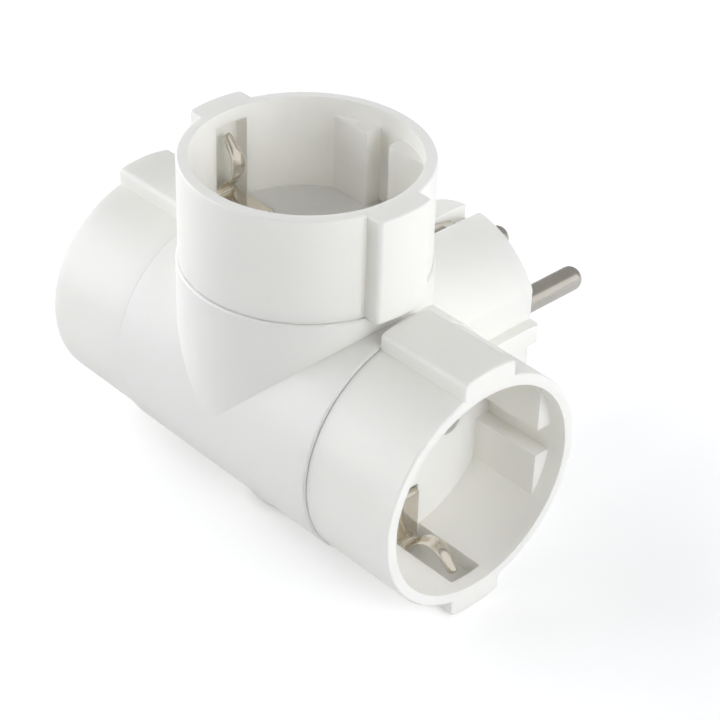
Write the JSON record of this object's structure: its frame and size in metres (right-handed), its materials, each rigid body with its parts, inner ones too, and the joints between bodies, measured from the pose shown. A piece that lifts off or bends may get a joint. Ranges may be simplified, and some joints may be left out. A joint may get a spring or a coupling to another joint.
{
  "type": "multi socket adapter",
  "caption": "Plug-in adapter with round recessed sockets facing left, right and up on a hub, and a round-pin plug with side earth strips behind.",
  "frame": {"origin": "middle of the plug's face, midway between the two pins", "axes": "+Y the way the pins point, +X through the right-hand socket, +Z through the upper socket"},
  "size_m": [0.0882, 0.0818, 0.0685],
  "materials": {
    "white_plastic": "satin moulded white",
    "carrier_plastic": "plain moulded",
    "nickel": "nickel plated brass",
    "brass": "plain pressed brass"
  },
  "bodies": {
    "root": {"core_body": "white_plastic", "plug_face": "white_plastic", "left_cup": "white_plastic", "right_cup": "white_plastic", "top_cup": "white_plastic", "live_carrier": "carrier_plastic", "neutral_carrier": "carrier_plastic", "pin_live": "nickel", "pin_neutral": "nickel", "plug_earth_strap": "nickel", "left_earth_clip": "nickel", "right_earth_clip": "nickel", "top_earth_clip": "nickel", "live_bus": "brass", "neutral_bus": "brass", "earth_bus": "brass", "live_rivets": "brass", "neutral_rivets": "brass", "left_live_jaw": "brass", "left_neutral_jaw": "brass", "right_live_jaw": "brass", "right_neutral_jaw": "brass", "top_live_jaw": "brass", "top_neutral_jaw": "brass"}
  },
  "joints": []
}
